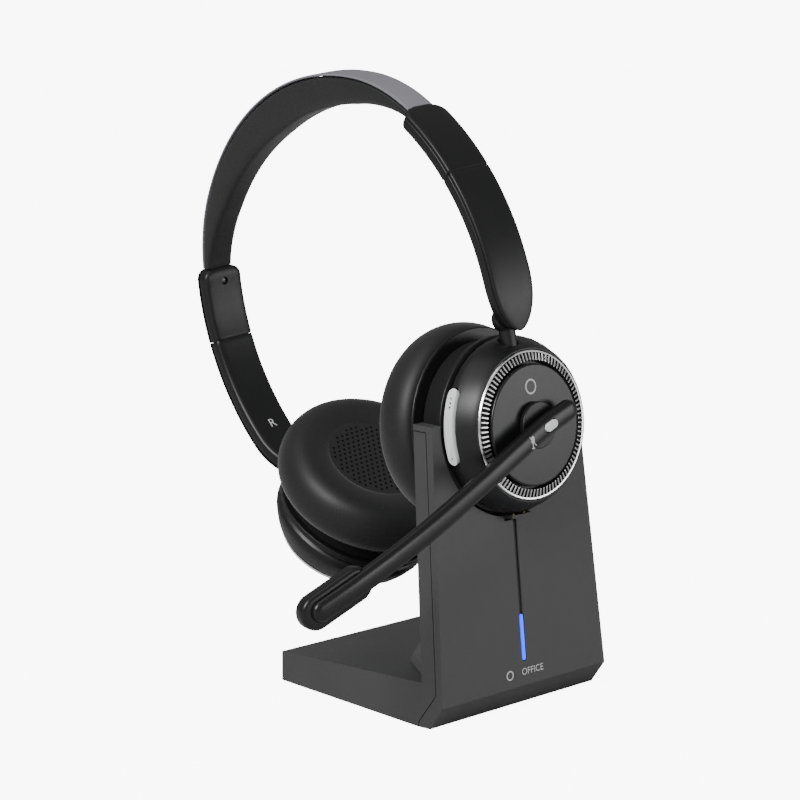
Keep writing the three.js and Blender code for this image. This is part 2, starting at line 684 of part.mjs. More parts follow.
// Stations along the boom, closer together over its round ends.
function boomStations(length) {
  const stations = [];
  for (let i = 0; i < 5; i += 1) stations.push((BOOM_HEIGHT / 2) * (1 - Math.cos((Math.PI * i) / 10)));
  const middle = [];
  for (let i = 0; i <= 22; i += 1) middle.push(BOOM_HEIGHT / 2 + ((length - BOOM_HEIGHT) * i) / 22);
  return [...stations, ...middle, ...stations.map((station) => length - station).reverse()];
}

function boomSweep(path, height, depth) {
  const length = path.getLength();
  const outline = roundedSection(height, depth);
  const sections = boomStations(length).map((station) => {
    const point = path.getPointAt(station / length);
    const along = path.getTangentAt(station / length);
    const side = new THREE.Vector3(0, 0, 1).cross(along).normalize();
    const out = new THREE.Vector3().crossVectors(along, side);
    const end = 1 - Math.min((2 * Math.min(station, length - station)) / BOOM_HEIGHT, 1);
    const round = Math.max(Math.sqrt(1 - end * end), 0.25);
    const section = outline.map(([across, deep]) => (
      point.clone().addScaledVector(side, across * round).addScaledVector(out, deep)));
    section.flat2d = outline.map(([a, b]) => new THREE.Vector2(a, b));
    return section;
  });
  return loft(sections);
}

function buildBoom() {
  const path = boomPath();
  const buttonTurn = Math.atan2(5.4, 14);
  const pocket = plate(stadium(6.4, 3.4), 18.5, 22).rotateZ(buttonTurn);
  place(faceFrame, 'boom_tube', cut(boomSweep(path, BOOM_HEIGHT, BOOM_DEPTH), pocket), SHELL_BLACK);
  const hub = [[0, 5.2], [3.6, 5.2], [3.6, 13.2], [7.9, 13.2], [7.9, 15.1], [0, 15.1]];
  place(faceFrame, 'boom_hub', turned(hub, 36), SHELL_BLACK);
  place(faceFrame, 'mute_button', plate(stadium(5.8, 2.8), 19.2, 20.7).rotateZ(buttonTurn), KEY_SILVER);

  const tip = path.getPointAt(1);
  const along = path.getTangentAt(0.97);
  const mic = new THREE.Group();
  const side = new THREE.Vector3(0, 0, 1).cross(along).normalize();
  const out = new THREE.Vector3().crossVectors(along, side);
  mic.applyMatrix4(new THREE.Matrix4().makeBasis(along, side, out).setPosition(tip));
  faceFrame.add(mic);
  // The head wraps the end of the boom, which lies in a channel of its front.
  const toMic = mic.matrix.clone().invert();
  const room = boomSweep(path, BOOM_HEIGHT + 2 * GAP, BOOM_DEPTH + 2 * GAP).applyMatrix4(toMic);
  const nose = plate(stadium(9, BOOM_HEIGHT + 2 * GAP), -BOOM_DEPTH / 2 - GAP, 5).translate(-4, 0, 0);
  const back = -BOOM_DEPTH / 2 - GAP;
  const plateShape = stadium(MIC_LENGTH, MIC_WIDTH, 10);
  const body = plate(plateShape, back - 2.6, 0.3).translate(3.4 - MIC_LENGTH / 2, 0, 0);
  const pocketForCapsule = drum(2.6, back - 6, back - 1, 20).translate(-2, 0, 0);
  place(mic, 'mic_housing', cut(body, room, nose, pocketForCapsule), SHELL_BLACK);
  place(mic, 'mic_capsule', drum(2.2, back - 2.4, back - 1.3, 20).translate(-2, 0, 0), STEEL);
}

buildStand();
buildHeadband();
buildLeftCup();
buildRightCup();
buildPins();

export default scene;
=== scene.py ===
"""A wireless on-ear headset with a boom microphone, standing on its charging stand.

Everything is in metres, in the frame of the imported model: +Z up, the origin under the foot.
"""
import json
import math
import bmesh
import bpy
from mathutils import Matrix, Vector


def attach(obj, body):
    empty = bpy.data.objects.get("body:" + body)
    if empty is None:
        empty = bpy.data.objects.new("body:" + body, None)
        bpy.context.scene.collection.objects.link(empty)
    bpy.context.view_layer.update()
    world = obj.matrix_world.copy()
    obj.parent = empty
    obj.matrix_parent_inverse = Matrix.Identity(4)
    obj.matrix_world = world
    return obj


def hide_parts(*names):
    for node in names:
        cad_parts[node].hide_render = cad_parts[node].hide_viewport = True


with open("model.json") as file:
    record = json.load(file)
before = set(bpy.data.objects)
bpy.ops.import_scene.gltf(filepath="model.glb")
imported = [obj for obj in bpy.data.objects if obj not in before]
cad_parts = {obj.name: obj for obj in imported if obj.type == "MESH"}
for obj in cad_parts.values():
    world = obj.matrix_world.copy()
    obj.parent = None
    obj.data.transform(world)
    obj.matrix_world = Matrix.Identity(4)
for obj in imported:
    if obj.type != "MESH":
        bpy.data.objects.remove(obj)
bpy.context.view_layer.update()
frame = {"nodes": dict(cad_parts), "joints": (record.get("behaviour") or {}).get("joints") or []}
nodes = frame["nodes"]
joints = {joint["name"]: joint for joint in frame["joints"]}
MM = 0.001

# ---------------------------------------------------------------- camera, light and floor
# A long lens a little above the headset looks at the stand's front corner. Soft panels
# light it from above, from the left and low from the right and front, over a pale floor.
EYE = Vector((-0.5225, -0.5382, 0.2366))
GAZE = Vector((0.667, 0.723, -0.177))
LENS = 99.0
SENSOR = 36.0
SHIFT = (0.0142, 0.0023)
PANEL_AIM = Vector((0, 0, 0.1))
SKY_STRENGTH = (0.3, 9)            # as a light, and as the backdrop
FLOOR_GLOW = (0, 8.6)

camera = bpy.data.objects.new("camera", bpy.data.cameras.new("camera"))
bpy.context.scene.collection.objects.link(camera)
camera.location = EYE
camera.rotation_euler = GAZE.to_track_quat("-Z", "Y").to_euler()
camera.data.lens = LENS
camera.data.sensor_width = SENSOR
camera.data.shift_x, camera.data.shift_y = SHIFT
camera.data.clip_start = 0.01
camera.data.clip_end = 50
bpy.context.scene.camera = camera


def soft_panel(name, place, width, power):
    """A square lighting panel that faces the top of the stand."""
    panel = bpy.data.objects.new(name, bpy.data.lights.new(name, "AREA"))
    bpy.context.scene.collection.objects.link(panel)
    panel.location = place
    panel.rotation_euler = (PANEL_AIM - Vector(place)).to_track_quat("-Z", "Y").to_euler()
    panel.data.size = width
    panel.data.energy = power


soft_panel("panel_above", (-0.35, 0.2, 1.3), 0.8, 2.5)
soft_panel("panel_left", (-1.15, -0.3, 0.95), 0.6, 30)
soft_panel("panel_right", (1.0, -1.15, 0.1), 0.7, 8)
soft_panel("panel_front", (0.3, -1.4, 0.1), 0.5, 6)


def brighter_to_the_eye(tree, socket, lit, seen):
    """Gives a strength one value as a light and another as the camera's backdrop."""
    path = tree.nodes.new("ShaderNodeLightPath")
    strength = tree.nodes.new("ShaderNodeMapRange")
    strength.inputs["To Min"].default_value = lit
    strength.inputs["To Max"].default_value = seen
    tree.links.new(path.outputs["Is Camera Ray"], strength.inputs["Value"])
    tree.links.new(strength.outputs["Result"], socket)


world = bpy.data.worlds.new("studio")
bpy.context.scene.world = world
world.use_nodes = True
sky = world.node_tree.nodes["Background"]
sky.inputs["Color"].default_value = (1, 1, 1, 1)
brighter_to_the_eye(world.node_tree, sky.inputs["Strength"], *SKY_STRENGTH)

bpy.ops.object.select_all(action="DESELECT")
bpy.ops.mesh.primitive_plane_add(size=12, location=(0, 0, -0.0001))
floor = bpy.context.object
floor.name = "floor"
floor_paint = bpy.data.materials.new("floor_paint")
floor_paint.use_nodes = True
floor_shader = floor_paint.node_tree.nodes["Principled BSDF"]
floor_shader.inputs["Base Color"].default_value = (0.5, 0.5, 0.5, 1)
floor_shader.inputs["Roughness"].default_value = 0.7
floor_shader.inputs["Emission Color"].default_value = (1, 1, 1, 1)
brighter_to_the_eye(floor_paint.node_tree, floor_shader.inputs["Emission Strength"], *FLOOR_GLOW)
floor.data.materials.append(floor_paint)

# ---------------------------------------------------------------- charging stand
# Two moulded shells, a face plate and a body behind it, with a spark-eroded matt finish.
# The face plate is glued over the front and wraps round its sides; screws hold the base.
STAND_GREY = (0.04, 0.04, 0.0408)
STAND_DARK = (0.008, 0.008, 0.0085)
PATCHES = 60                       # broad patches of gloss and shade to the metre
SHADE_DRIFT = 0.1
WELD_GAP = 0.002 * MM
EDGE_ANGLE = math.radians(28)


def moulded(name, colour, roughness, grain=0.0004, depth=0.00002, sheen_spread=0.06, metallic=0.0):
    """Moulded stock with a fine grain in its surface and a slightly uneven gloss and shade."""
    material = bpy.data.materials.new(name)
    material.use_nodes = True
    tree = material.node_tree
    shader = tree.nodes["Principled BSDF"]
    shader.inputs["Metallic"].default_value = metallic
    shader.inputs["Specular IOR Level"].default_value = 0.5 if metallic else 0.3
    place = tree.nodes.new("ShaderNodeTexCoord")
    fine = tree.nodes.new("ShaderNodeTexNoise")
    fine.inputs["Scale"].default_value = 1 / grain
    fine.inputs["Detail"].default_value = 3
    broad = tree.nodes.new("ShaderNodeTexNoise")
    broad.inputs["Scale"].default_value = PATCHES
    broad.inputs["Detail"].default_value = 4
    gloss = tree.nodes.new("ShaderNodeMapRange")
    gloss.inputs["To Min"].default_value = roughness - sheen_spread
    gloss.inputs["To Max"].default_value = roughness + sheen_spread
    shade = tree.nodes.new("ShaderNodeValToRGB")
    shade.color_ramp.elements[0].color = [c * (1 - SHADE_DRIFT) for c in colour] + [1]
    shade.color_ramp.elements[1].color = [c * (1 + SHADE_DRIFT) for c in colour] + [1]
    bump = tree.nodes.new("ShaderNodeBump")
    bump.inputs["Distance"].default_value = depth
    bump.inputs["Strength"].default_value = 0.6
    link = tree.links.new
    link(place.outputs["Object"], fine.inputs["Vector"])
    link(place.outputs["Object"], broad.inputs["Vector"])
    link(broad.outputs["Fac"], gloss.inputs["Value"])
    link(gloss.outputs["Result"], shader.inputs["Roughness"])
    link(broad.outputs["Fac"], shade.inputs["Fac"])
    link(shade.outputs["Color"], shader.inputs["Base Color"])
    link(fine.outputs["Fac"], bump.inputs["Height"])
    link(bump.outputs["Normal"], shader.inputs["Normal"])
    return material


def finish(node, material, edge=0.3):
    """Gives a CAD node its material and breaks its edges by a few tenths of a millimetre."""
    part = nodes[node]
    part.data.materials.clear()
    part.data.materials.append(material)
    part.data.polygons.foreach_set("use_smooth", [True] * len(part.data.polygons))
    weld = part.modifiers.new("weld", "WELD")
    weld.merge_threshold = WELD_GAP
    bevel = part.modifiers.new("edges", "BEVEL")
    bevel.width = edge * MM
    bevel.segments = 3
    bevel.limit_method = "ANGLE"
    bevel.angle_limit = EDGE_ANGLE
    bevel.harden_normals = True
    even = part.modifiers.new("even", "WEIGHTED_NORMAL")
    even.keep_sharp = True


stand_plastic = moulded("stand_plastic", STAND_GREY, 0.5, grain=0.00035, depth=0.00003)
stand_dark = moulded("stand_dark_plastic", STAND_DARK, 0.6)
pad_rubber = moulded("pad_rubber", (0.02, 0.02, 0.02), 0.85, grain=0.0008, depth=0.00005)
steel = moulded("steel", (0.55, 0.56, 0.58), 0.35, metallic=1.0)
screw_steel = moulded("screw_steel", (0.06, 0.06, 0.065), 0.35, metallic=1.0)
gold = moulded("contact_gold", (0.25, 0.18, 0.07), 0.35, metallic=1.0)
board_green = moulded("board_lacquer", (0.02, 0.12, 0.05), 0.35)

for shell in ("stand_front_shell", "stand_rear_shell", "stand_gusset"):
    finish(shell, stand_plastic, 0.45)
finish("stand_base_plate", stand_dark)
finish("face_groove_insert", stand_dark, 0.1)
finish("charging_ledge", stand_plastic)
finish("anti_slip_pad", pad_rubber, 0.1)
finish("ballast_slab", steel)
finish("usb_c_inlet", steel, 0.1)
finish("charging_board", board_green, 0.1)
for number in range(1, 5):
    finish(f"base_screw_{number}", steel, 0.2)
for number in (1, 2):
    finish(f"charging_pin_{number}", gold, 0.15)

# ---------------------------------------------------------------- status light
# A clear light pipe is set in the face below the groove, flush with it. A lamp behind the
# pipe makes it glow blue.
PIPE_BLUE = (0.0, 0.1, 0.9)
GLOW_BLUE = (0.0, 0.03, 1.0, 1)
GLOW_STRENGTH = 2.2

lit_pipe = moulded("lit_pipe", PIPE_BLUE, 0.3)
pipe_shader = lit_pipe.node_tree.nodes["Principled BSDF"]
pipe_shader.inputs["Emission Color"].default_value = GLOW_BLUE
pipe_shader.inputs["Emission Strength"].default_value = GLOW_STRENGTH
finish("status_light_pipe", lit_pipe, 0.15)

# ---------------------------------------------------------------- places of the band and cups
# The joints' axes give each moving group its own frame: a cup's Z points outwards along its
# axis and Y up its pivot pin; the band's Z points up at the crown and Y to the right cup.
PIN_TOP = 36 * MM
PIN_OUT = {"left": 6.5 * MM, "right": 4.5 * MM}
BAND_LIFT = -22.70 * MM            # centre of the arms' curve, in the band's frame


def axes_frame(origin, x, y, z):
    """A frame from its origin and three directions."""
    return Matrix.Translation(origin) @ Matrix((x, y, z)).transposed().to_4x4()


def axis(name):
    """A joint's direction."""
    return Vector(joints[name]["axis"]).normalized()


def spot(name):
    """A joint's place."""
    return Vector(joints[name]["pos_m"])


out_left = axis("boom_turn")
up_left = -axis("left_swivel")
left_cup = axes_frame(spot("headset_lift"), up_left.cross(out_left), up_left, out_left)

up_right = -axis("right_swivel")
out_right = (-axis("right_tilt")).cross(up_right)
right_origin = spot("right_swivel") - up_right * PIN_TOP - out_right * PIN_OUT["right"]
right_cup = axes_frame(right_origin, up_right.cross(out_right), up_right, out_right)

band_x = -axis("left_extension")
band_y = (spot("left_extension") - spot("right_extension")).normalized()
band_z = band_x.cross(band_y)
band_middle = (spot("left_extension") + spot("right_extension")) / 2 - band_z * BAND_LIFT
band = axes_frame(band_middle, band_x, band_y, band_z)

# ---------------------------------------------------------------- headband
# A thin satin cover strip on top of a foam pad in smooth leatherette, thick at the crown and
# thin where it meets the slider housings. A sprung steel strip runs between the two.
CROWN_TOP = 58.2                   # the seam line is made of arcs: lengths are in millimetres,
CROWN_RADIUS = 94.7                # and an END or START is a turn from the crown in degrees
CROWN_END = 34
SHOULDER_RADIUS = 63.8
SHOULDER_END = 57
SIDE_RADIUS = 85.5
BAND_END = 59.3
PAD_HALF = 5.75                    # half the pad's width
PAD_CROWN = 13.6                   # its thickness at the crown and at the housings
PAD_SIDE = 2.9
PAD_THINNING = 1.55                # how late in the turn it grows thin
PAD_TOP = -0.25
PAD_WIDEST = 0.42                  # how far down it is widest, as a share of its depth
PAD_EDGE = 0.42
COVER_HALF = 5.6
COVER_RISE = 0.5


def seam(turn):
    """Point and outward direction on the band's seam line, turn degrees round from the crown."""
    side = 1 if turn >= 0 else -1
    angle = abs(turn)
    y, z, radius = 0.0, CROWN_TOP - CROWN_RADIUS, CROWN_RADIUS
    for end, following in ((CROWN_END, SHOULDER_RADIUS), (SHOULDER_END, SIDE_RADIUS)):
        if angle > end:
            y += (radius - following) * math.sin(math.radians(end))
            z += (radius - following) * math.cos(math.radians(end))
            radius = following
    out = Vector((0, side * math.sin(math.radians(angle)), math.cos(math.radians(angle))))
    return Vector((0, side * y, z)) + out * radius, out


def on_band(turn, across, rise):
    """Place on the band: across its width and rise above its seam line, in millimetres."""
    point, out = seam(turn)
    return band @ ((point + out * rise + Vector((across, 0, 0))) * MM)


def select_only(thing):
    """Leaves one object selected and active."""
    bpy.ops.object.select_all(action="DESELECT")
    thing.select_set(True)
    bpy.context.view_layer.objects.active = thing


def swept(name, rings, around, place):
    """A cylinder cut into rings; place(share along, angle round) then sets each point."""
    bpy.ops.object.select_all(action="DESELECT")
    bpy.ops.mesh.primitive_cylinder_add(vertices=around, radius=1, depth=1)
    piece = bpy.context.object
    piece.name = name
    bpy.ops.object.mode_set(mode="EDIT")
    bpy.ops.mesh.select_mode(type="EDGE")
    bpy.ops.mesh.select_all(action="DESELECT")
    mesh = bmesh.from_edit_mesh(piece.data)
    for edge in mesh.edges:
        if abs(edge.verts[0].co.z - edge.verts[1].co.z) > 0.5:
            edge.select = True
    bmesh.update_edit_mesh(piece.data)
    bpy.ops.mesh.subdivide(number_cuts=rings - 2)
    mesh = bmesh.from_edit_mesh(piece.data)
    for vert in mesh.verts:
        vert.co = place(vert.co.z + 0.5, math.atan2(vert.co.y, vert.co.x))
    bmesh.update_edit_mesh(piece.data)
    bpy.ops.mesh.select_all(action="SELECT")
    bpy.ops.mesh.normals_make_consistent(inside=False)
    bpy.ops.object.mode_set(mode="OBJECT")
    bpy.ops.object.shade_smooth_by_angle(angle=math.radians(50))
    return piece


def power(value, exponent):
    """A power that keeps the sign: 1 gives a round outline, and less a squarer one."""
    return math.copysign(abs(value) ** exponent, value)


def ease_ends(share):
    """Crowds the rings towards both ends."""
    return 0.5 - 0.5 * math.cos(math.pi * share)


def leatherette(name, colour, roughness):
    """Soft leatherette: shallow pores, a faint crease pattern and a dull sheen."""
    material = moulded(name, colour, roughness, grain=0.0006, depth=0.00003)
    tree = material.node_tree
    place = tree.nodes["Texture Coordinate"]
    pores = tree.nodes.new("ShaderNodeTexVoronoi")
    pores.feature = "SMOOTH_F1"
    pores.inputs["Scale"].default_value = 1400
    creases = tree.nodes.new("ShaderNodeBump")
    creases.inputs["Distance"].default_value = 0.00004
    creases.inputs["Strength"].default_value = 0.5
    tree.links.new(place.outputs["Object"], pores.inputs["Vector"])
    tree.links.new(pores.outputs["Distance"], creases.inputs["Height"])
    fine = tree.nodes["Bump"]
    tree.links.new(creases.outputs["Normal"], fine.inputs["Normal"])
    shader = tree.nodes["Principled BSDF"]
    shader.inputs["Sheen Weight"].default_value = 0.15
    shader.inputs["Sheen Roughness"].default_value = 0.4
    return material


def pad_depth(turn):
    """Thickness of the band's pad under the seam line."""
    share = min(abs(turn) / BAND_END, 1) ** PAD_THINNING
    return PAD_SIDE + (PAD_CROWN - PAD_SIDE) * (1 - share)


def pad_place(share, angle):
    """The pad's skin: nearly square at the cover, softly rounded underneath."""
    turn = BAND_END * (2 * ease_ends(share) - 1)
    depth = pad_depth(turn)
    middle = PAD_TOP - (depth + PAD_TOP) * PAD_WIDEST
    across = PAD_HALF * power(math.cos(angle), PAD_EDGE)
    below = math.sin(angle) < 0
    reach = (depth + middle) if below else (PAD_TOP - middle)
    roundness = 0.5 if below else 0.2
    return on_band(turn, across, middle + reach * power(math.sin(angle), roundness))


pad_skin = leatherette("band_leatherette", (0.012, 0.012, 0.0125), 0.5)
band_pad = swept("headband_pad", 110, 40, pad_place)
band_pad.data.materials.append(pad_skin)
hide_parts("headband_cushion")
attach(band_pad, "headband")


def cover_place(share, angle):
    """The cover strip: flat on top with broken edges."""
    turn = BAND_END * (2 * ease_ends(share) - 1)
    across = COVER_HALF * power(math.cos(angle), 0.25)
    return on_band(turn, across, COVER_RISE + COVER_RISE * power(math.sin(angle), 0.5))


cover_satin = moulded("band_cover_satin", (0.16, 0.158, 0.176), 0.34, grain=0.0005, depth=0.00001)
band_cover = swept("headband_cover_strip", 110, 32, cover_place)
band_cover.data.materials.append(cover_satin)
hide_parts("headband_cover")
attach(band_cover, "headband")
finish("headband_spring", steel, 0.1)

# ---------------------------------------------------------------- slider housings
# A pair of clamshells closes round each end of the band: a domed outer shell and a deeper
# inner one, joined at a fine seam and held by a screw sunk near the inner shell's top.
ARM_HALF = 8.7
CORNER = 4.0                       # radius of a housing's corners at the band
HOUSING_START = 59.5
HOUSING_END = 78.6
HOUSING_LAP = 0.14                 # how far the housing's shells reach towards the arm
OUTER_LEAD = 0.15                  # how far the outer shell leads the inner at the band
ARM_START = 78.8
ARM_END = {"left": 116.6, "right": 120.2}
ARM_TIP = 12                       # turn over which an arm's end narrows
TIP_FLAT = 0.35                    # least half width, at the end of an arm
ENTRY_RUN = 4                      # from the shallow end of an inner shell to its full depth
ENTRY_DEPTH = 0.7
GROOVE_TURN = HOUSING_END + 0.1    # the V groove's place, half width and depths
GROOVE_SPAN = 0.35
GROOVE_IN = 0.3
GROOVE_DOWN = 0.25
OUTER = (0.0, 0.35, 1.5, 0.7, 0.3)           # a shell's lowest, widest and highest lines,
INNER = (-5.1, -1.7, -0.22, 0.25, 0.42)      # and how round it is above and below the widest
SCREW_TURN = 63
SCREW_HOLE = (1.5, -8, -3.3)       # radius, and both ends along the drill

SHELL_BLACK = (0.0065, 0.0065, 0.0068)
shell_black = moulded("shell_black", SHELL_BLACK, 0.38, depth=0.000015)
glossy_black = moulded("glossy_black", SHELL_BLACK, 0.3, depth=0.000003, sheen_spread=0.02)
# Painted shade: a near-black matt stock, far darker than the shells, paints the shade in gaps and recesses:
# the cups' necks, the rings' beds and the arms' lips.
painted_gap_shade = moulded("painted_gap_shade", (0.0015, 0.0015, 0.0015), 0.8)


def half_width(turn):
    """Half the width of a housing or arm: a round corner at the band, a round tip at the end."""
    angle = abs(turn)
    start = math.radians(angle - HOUSING_START) * SIDE_RADIUS
    if start < CORNER:
        return ARM_HALF - CORNER + math.sqrt(max(CORNER ** 2 - (CORNER - start) ** 2, 0))
    end = ARM_END["left" if turn < 0 else "right"]
    share = min(max((angle - end + ARM_TIP) / ARM_TIP, 0), 1)
    return max(ARM_HALF * math.sqrt(1 - share * share), TIP_FLAT)


def entry(turn):
    """The inner shells start shallow where the band goes in, and soon reach their full depth."""
    run = math.radians(abs(turn) - HOUSING_START) * SIDE_RADIUS / ENTRY_RUN
    share = min(max(run, 0), 1)
    return ENTRY_DEPTH + (1 - ENTRY_DEPTH) * math.sqrt(1 - (1 - share) ** 2)


def shell_place(side, start, end, profile, inset=0):
    """The layout of a shell between two turns, for swept(), with a V groove at the arm's seam."""
    low, middle, high, round_above, round_below = profile

    def place(share, angle):
        eased = ease_ends(share) if end < ARM_START else math.sin(share * math.pi / 2) ** 1.2
        turn = side * (start + (end - start) * eased)
        groove = 1 - min(abs(abs(turn) - GROOVE_TURN) / GROOVE_SPAN, 1)
        across = (half_width(turn) - inset - GROOVE_IN * groove) * power(math.cos(angle), 0.4)
        over = math.sin(angle)
        reach = (high - middle) if over > 0 else (middle - low) * entry(turn)
        roundness = round_above if over > 0 else round_below
        return on_band(turn, across, middle + (reach - GROOVE_DOWN * groove) * power(over, roundness))
    return place


def drilled(piece, tools, operation="DIFFERENCE"):
    """Cuts each tool out of a piece, or joins it on, and removes the tool."""
    for tool in tools:
        select_only(piece)
        change = piece.modifiers.new("change", "BOOLEAN")
        change.object = tool
        change.operation = operation
        bpy.ops.object.modifier_apply(modifier=change.name)
        bpy.data.objects.remove(tool)
    select_only(piece)
    bpy.ops.object.shade_smooth_by_angle(angle=math.radians(40))


def rod(radius, low, high, place, around=40):
    """A round bar along a frame's Z, in millimetres, used as a cutter."""
    bpy.ops.object.select_all(action="DESELECT")
    bpy.ops.mesh.primitive_cylinder_add(vertices=around, radius=radius * MM, depth=(high - low) * MM)
    bar = bpy.context.object
    bar.data.transform(place @ Matrix.Translation((0, 0, (low + high) / 2 * MM)))
    return bar


def ball(radius, place):
    """A round ball at a frame's origin, in millimetres."""
    bpy.ops.object.select_all(action="DESELECT")
    bpy.ops.mesh.primitive_uv_sphere_add(segments=40, ring_count=24, radius=radius * MM)
    sphere = bpy.context.object
    sphere.data.transform(place)
    return sphere


for side, name in ((-1, "left"), (1, "right")):
    outer = swept(f"{name}_housing_outer", 40, 40,
                  shell_place(side, HOUSING_START - OUTER_LEAD, HOUSING_END + HOUSING_LAP, OUTER))
    inner = swept(f"{name}_housing_inner", 40, 40,
                  shell_place(side, HOUSING_START, HOUSING_END + HOUSING_LAP, INNER))
    seat, outward = seam(side * SCREW_TURN)
    facing = outward.to_track_quat("Z", "X").to_matrix().to_4x4()
    drill = band @ Matrix.Translation(seat * MM) @ facing
    drilled(inner, [rod(*SCREW_HOLE, drill)])
    for piece, node in ((outer, "slider_outer_shell"), (inner, "slider_inner_shell")):
        piece.data.materials.append(shell_black)
        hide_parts(f"{name}_{node}")
        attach(piece, "headband")
    finish(f"{name}_slider_screw", screw_steel, 0.15)

# ---------------------------------------------------------------- arms
# Each arm slides in its housing on a steel strip and ends in a rounded tip over the pivot
# pin. An outer cover and an inner cover meet at a fine seam, like the housing's shells, and
# a dull lip at the top of the arm reaches into the housing, so that no light gets through; the lip is
# painted near-black, as the shade in that gap.
SWINGS = {"left": (-4, 2.5, 9), "right": (-2, 7, 16)}      # degrees that the pins need room for
KNUCKLE = 4.6                      # radius of the round end over the pin's ball
SOCKET = 3.05
STEM_ROOM = 12
LIP = (-4.4, -1.6, 1.0, 0.5, 0.42)           # as OUTER and INNER
LIP_START = ARM_START - 0.9
LIP_END = ARM_START + 0.6
LIP_INSET = 0.7
tilt_points = {
    "left": left_cup @ Matrix.Translation((0, PIN_TOP, PIN_OUT["left"])),
    "right": right_cup @ Matrix.Translation((0, PIN_TOP, PIN_OUT["right"])),
}

for side, name in ((-1, "left"), (1, "right")):
    end = ARM_END[name]
    outer = swept(f"{name}_arm_outer", 60, 40, shell_place(side, ARM_START, end, OUTER))
    inner = swept(f"{name}_arm_inner", 60, 40, shell_place(side, ARM_START, end, INNER))
    tilt_point = tilt_points[name]
    drilled(inner, [ball(KNUCKLE, tilt_point)], "UNION")
    hollows = [ball(SOCKET, tilt_point)]
    for swing in SWINGS[name]:
        stem = Matrix.Rotation(math.radians(90 - swing), 4, "X")
        hollows.append(rod(SOCKET, 0, STEM_ROOM, tilt_point @ stem))
    drilled(inner, hollows)
    lip = swept(f"{name}_arm_lip", 6, 40, shell_place(side, LIP_START, LIP_END, LIP, LIP_INSET))
    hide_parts(f"{name}_arm_outer_cover")
    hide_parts(f"{name}_arm_inner_cover")
    for piece in (outer, inner, lip):
        # Each lip is painted near-black, as the shade in the gap inside the housing.
        piece.data.materials.append(painted_gap_shade if piece == lip else shell_black)
        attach(piece, f"{name}_arm")
    finish(f"{name}_slide_strip", steel, 0.1)
    finish(f"{name}_pivot_pin", shell_black, 0.2)

# ---------------------------------------------------------------- ear cups
# Turned-looking mouldings stacked on one axis: foam cushion, thin plate, deep neck, flange
# and a bowl-shaped housing, closed by a flat disc inside a ribbed metal ring.
cushion_skin = leatherette("cushion_leatherette", (0.009, 0.009, 0.0093), 0.5)
bright_ring = moulded("bright_ring", (0.82, 0.82, 0.83), 0.22, metallic=1.0)
rib_silver = moulded("rib_silver", (0.5, 0.5, 0.51), 0.3, metallic=1.0)


def turned(name, outline, place, steps=96, levels=0):
    """Spins an outline of (radius, height) points, in millimetres, round a cup's axis. An
    outline that starts away from the axis is closed first."""
    mesh = bpy.data.meshes.new(name)
    points = [(radius * MM, 0, height * MM) for radius, height in outline]
    count = len(points)
    closed = outline[0][0] > 0
    lines = [(i, (i + 1) % count) for i in range(count if closed else count - 1)]
    mesh.from_pydata(points, lines, [])
    piece = bpy.data.objects.new(name, mesh)
    bpy.context.scene.collection.objects.link(piece)
    select_only(piece)
    bpy.ops.object.mode_set(mode="EDIT")
    bpy.ops.mesh.select_all(action="SELECT")
    bpy.ops.mesh.spin(steps=steps, angle=2 * math.pi, center=(0, 0, 0), axis=(0, 0, 1))
    bpy.ops.mesh.select_all(action="SELECT")
    bpy.ops.mesh.remove_doubles(threshold=0.000001)
    bpy.ops.mesh.normals_make_consistent(inside=False)
    bpy.ops.object.mode_set(mode="OBJECT")
    piece.data.transform(place)
    if levels:
        smooth = piece.modifiers.new("smooth", "SUBSURF")
        smooth.levels = levels
        smooth.render_levels = levels
        bpy.ops.object.modifier_apply(modifier=smooth.name)
    bpy.ops.object.shade_smooth_by_angle(angle=math.radians(35))
    return piece


# Outlines hold radius and height: a height under 0 is on the side of the head.
CUSHION = [
    (20.5, -13.2), (29.0, -13.2), (32.4, -14.2), (34.4, -17.4), (34.8, -21.8), (33.9, -26.6), (31.2, -30.4),
    (27.4, -31.9), (23.2, -31.6), (19.6, -30.8), (17.6, -29.9), (17.2, -28.2), (17.4, -25),
]
CENTRE = [(0, -29.7), (10, -29.8), (17.9, -30.0), (18.4, -28.9), (0, -28.6)]
CENTRE_HEIGHT = -29.3
HOLE_RADIUS = 0.56
HOLE_PITCH = 2.3
ROW_SHARE = 0.866                  # distance between rows, as a share of the pitch
FIELD_ROWS = 8                     # rows of holes on each side of the middle one
FIELD_RADIUS = 16.4


def perforated_centre(name, place):
    """The thin dished centre of a cushion, punched with a staggered field of small holes."""
    centre = turned(name, CENTRE, place)
    spots = []
    for row in range(-FIELD_ROWS, FIELD_ROWS + 1):
        for column in range(-FIELD_ROWS, FIELD_ROWS + 1):
            x = (column + 0.5 * (row % 2)) * HOLE_PITCH
            y = row * HOLE_PITCH * ROW_SHARE
            if math.hypot(x, y) < FIELD_RADIUS:
                spots.append(Matrix.Translation((x * MM, y * MM, CENTRE_HEIGHT * MM)))
    bpy.ops.object.select_all(action="DESELECT")
    bpy.ops.mesh.primitive_cylinder_add(vertices=12, radius=HOLE_RADIUS * MM, depth=6 * MM)
    punch = bpy.context.object
    tools = [punch]
    for hole in spots[1:]:
        tool = punch.copy()
        tool.data = punch.data.copy()
        bpy.context.scene.collection.objects.link(tool)
        tool.data.transform(hole)
        tools.append(tool)
    punch.data.transform(spots[0])
    bpy.ops.object.select_all(action="DESELECT")
    for tool in tools:
        tool.select_set(True)
    bpy.context.view_layer.objects.active = punch
    bpy.ops.object.join()
    punch.data.transform(place)
    select_only(centre)
    holes = centre.modifiers.new("holes", "BOOLEAN")
    holes.object = punch
    holes.operation = "DIFFERENCE"
    bpy.ops.object.modifier_apply(modifier=holes.name)
    bpy.data.objects.remove(punch)
    return centre


